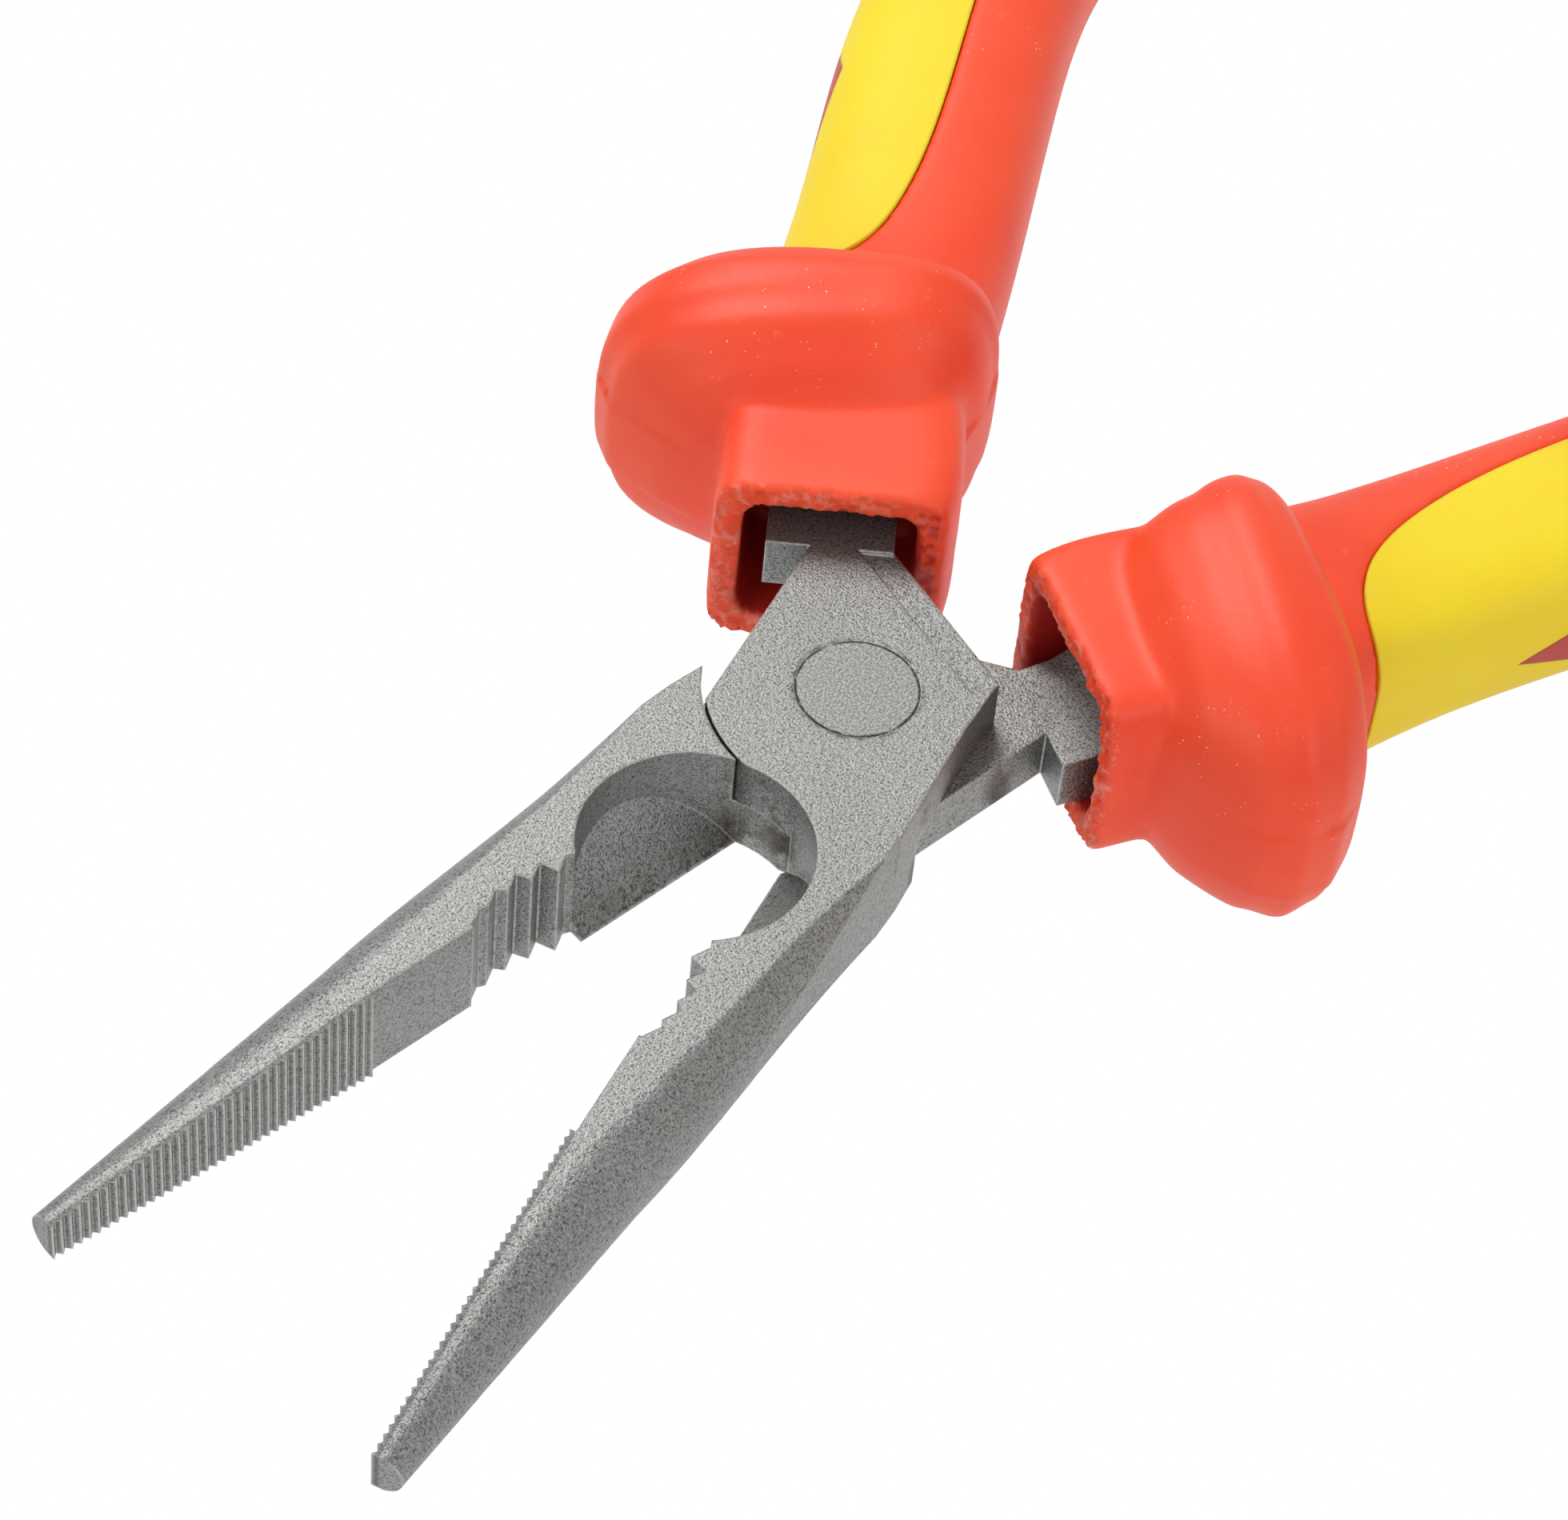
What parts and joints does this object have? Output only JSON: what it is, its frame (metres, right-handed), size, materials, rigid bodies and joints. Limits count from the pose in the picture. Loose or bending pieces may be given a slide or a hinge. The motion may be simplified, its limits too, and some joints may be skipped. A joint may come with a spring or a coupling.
{
  "type": "needle nose pliers",
  "caption": "Insulated long nose pliers with half-round serrated jaws, pipe grip, side cutter, flush riveted lap joint and two-colour sleeves with finger guards.",
  "frame": {"origin": "centre of the rivet on the back face of the joint", "axes": "+X towards the jaw tips, midway between the open jaws; +Z along the rivet, towards the joint's front face; +Y towards the front lever's jaw"},
  "size_m": [0.19, 0.1166, 0.0294],
  "materials": {
    "forged_steel": "sand-blasted satin",
    "rivet_steel": "ground flush and blasted",
    "red_sleeve": "satin moulded",
    "yellow_grip": "soft satin",
    "dark_red_inlay": "soft satin"
  },
  "bodies": {
    "rear_half": {"rear_lever": "forged_steel", "pivot_rivet": "rivet_steel", "rear_sleeve": "red_sleeve", "rear_grip": "yellow_grip", "rear_inlay": "dark_red_inlay"},
    "front_half": {"front_lever": "forged_steel", "front_sleeve": "red_sleeve", "front_grip": "yellow_grip", "front_inlay": "dark_red_inlay"}
  },
  "joints": [
    {"name": "jaw_pivot", "type": "hinge", "parent": "rear_half", "child": "front_half", "pos_m": [0, 0, 0.005], "axis": [0, 0, 1], "range_deg": [-22, 20]}
  ]
}
